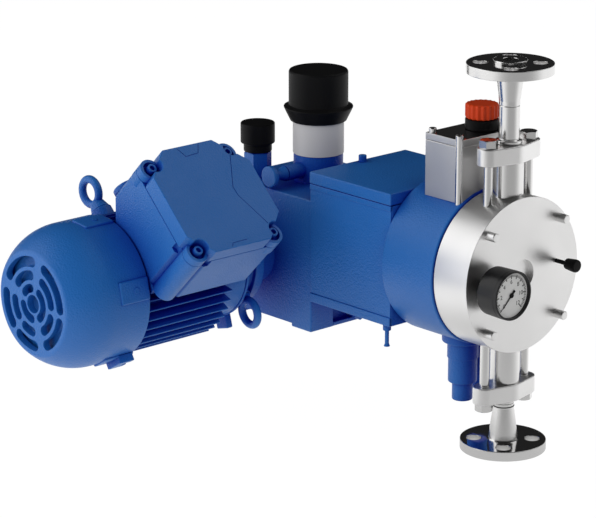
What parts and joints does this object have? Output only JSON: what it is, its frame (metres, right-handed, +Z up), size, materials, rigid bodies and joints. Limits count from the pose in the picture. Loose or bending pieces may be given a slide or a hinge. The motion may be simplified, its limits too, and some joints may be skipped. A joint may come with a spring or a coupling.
{
  "type": "diaphragm metering pump",
  "caption": "Motor driven metering pump: worm gear case with stroke knob, hydraulic adapter, round steel diaphragm head, flanged check valves, oil reservoir, gauge and finned motor.",
  "frame": {"origin": "on the base plane, under the vertical crank axis of the gear case", "axes": "+Z is up, +X runs along the plunger to the pump head, and the motor lies along -Y"},
  "size_m": [0.4693, 0.4484, 0.4144],
  "materials": {
    "blue_paint": "deep blue enamel with a fine orange-peel texture",
    "stainless_steel": "fine turned and machined stainless steel",
    "hardened_steel": "ground, oiled steel",
    "gear_bronze": "cut bronze",
    "core_laminations": "varnished sheet steel",
    "black_plastic": "moulded, slight sheen",
    "grey_plastic": "moulded, satin",
    "orange_plastic": "moulded, fluted",
    "diaphragm_sheet": "dark sheet, edge showing",
    "dial_white": "printed white face"
  },
  "bodies": {
    "pump_frame": {"gear_housing": "blue_paint", "housing_cover": "blue_paint", "cover_plug": "blue_paint", "drain_plug": "blue_paint", "drain_nipple": "blue_paint", "scale_sleeve": "grey_plastic", "oil_filler_neck": "blue_paint", "drive_adapter": "blue_paint", "relief_valve": "blue_paint", "refill_valve": "blue_paint", "diaphragm": "diaphragm_sheet", "pump_head": "stainless_steel", "head_bolt_1": "stainless_steel", "head_bolt_2": "stainless_steel", "head_bolt_3": "stainless_steel", "head_bolt_4": "stainless_steel", "discharge_valve": "stainless_steel", "discharge_yoke": "stainless_steel", "discharge_bolt_near": "stainless_steel", "discharge_bolt_far": "stainless_steel", "discharge_flange": "stainless_steel", "suction_valve": "stainless_steel", "suction_yoke": "stainless_steel", "suction_bolt_near": "stainless_steel", "suction_bolt_far": "stainless_steel", "suction_flange": "stainless_steel", "reservoir_tank": "stainless_steel", "reservoir_lid": "stainless_steel", "reservoir_neck": "black_plastic", "tie_rod_1": "stainless_steel", "tie_rod_2": "stainless_steel", "tie_rod_3": "stainless_steel", "tie_rod_4": "stainless_steel", "gauge_case": "black_plastic", "gauge_dial": "dial_white", "drive_end_shield": "blue_paint", "motor_frame": "blue_paint", "stator": "core_laminations", "fan_cowl": "blue_paint", "terminal_box": "blue_paint", "terminal_lid": "blue_paint", "blanking_plug": "blue_paint", "lifting_eye_upper": "blue_paint", "lifting_eye_lower": "blue_paint"},
    "motor_shaft": {"rotor": "core_laminations", "worm_shaft": "hardened_steel", "cooling_fan": "black_plastic"},
    "crank": {"crankshaft": "hardened_steel", "worm_wheel": "gear_bronze"},
    "plunger_unit": {"crosshead": "hardened_steel", "plunger": "stainless_steel"},
    "adjusting_spindle": {"stroke_spindle": "hardened_steel"},
    "adjusting_knob": {"stroke_knob": "black_plastic"},
    "locking_screw": {"lock_screw": "blue_paint"},
    "filler_cap": {"oil_filler_cap": "black_plastic"},
    "tank_cap": {"reservoir_cap": "orange_plastic"},
    "gauge_needle": {"gauge_pointer": "black_plastic"},
    "vent": {"vent_screw": "black_plastic"},
    "upper_ball": {"discharge_ball": "hardened_steel"},
    "lower_ball": {"suction_ball": "hardened_steel"}
  },
  "joints": [
    {"name": "rotor_spin", "type": "hinge", "parent": "pump_frame", "child": "motor_shaft", "pos_m": [-0.03, 0, 0.073], "axis": [0, 1, 0], "continuous": true},
    {"name": "crank_spin", "type": "hinge", "parent": "pump_frame", "child": "crank", "pos_m": [0, 0, 0.073], "axis": [0, 0, 1], "continuous": true},
    {"name": "plunger_stroke", "type": "slide", "parent": "pump_frame", "child": "plunger_unit", "axis": [1, 0, 0], "range_m": [-0.005, 0.005]},
    {"name": "spindle_lift", "type": "slide", "parent": "pump_frame", "child": "adjusting_spindle", "axis": [0, 0, 1], "range_m": [-0.015, 0]},
    {"name": "knob_turn", "type": "hinge", "parent": "adjusting_spindle", "child": "adjusting_knob", "pos_m": [0, 0, 0.2], "axis": [0, 0, 1], "range_deg": [-1800, 0]},
    {"name": "lock_screw_turn", "type": "hinge", "parent": "pump_frame", "child": "locking_screw", "pos_m": [0, -0.06, 0.1601], "axis": [0, -1, 0], "range_deg": [0, 360]},
    {"name": "oil_filler_cap_lift", "type": "slide", "parent": "pump_frame", "child": "filler_cap", "axis": [0, 0, 1], "range_m": [0, 0.04]},
    {"name": "reservoir_cap_lift", "type": "slide", "parent": "pump_frame", "child": "tank_cap", "axis": [0, 0, 1], "range_m": [0, 0.03]},
    {"name": "gauge_needle_turn", "type": "hinge", "parent": "pump_frame", "child": "gauge_needle", "pos_m": [0.34, -0.052, 0.102], "axis": [-1, 0, 0], "range_deg": [0, 270]},
    {"name": "vent_turn", "type": "hinge", "parent": "pump_frame", "child": "vent", "pos_m": [0.32, 0.0497, 0.1105], "axis": [1, 0, 0], "range_deg": [0, 720]},
    {"name": "discharge_ball_lift", "type": "slide", "parent": "pump_frame", "child": "upper_ball", "axis": [0, 0, 1], "range_m": [0, 0.004]},
    {"name": "suction_ball_lift", "type": "slide", "parent": "pump_frame", "child": "lower_ball", "axis": [0, 0, 1], "range_m": [0, 0.004]}
  ],
  "couplings": [
    {"joint": "crank_spin", "follows": "rotor_spin", "ratio": 0.047619},
    {"joint": "spindle_lift", "follows": "knob_turn", "m_per_rad": 0.00047746}
  ]
}
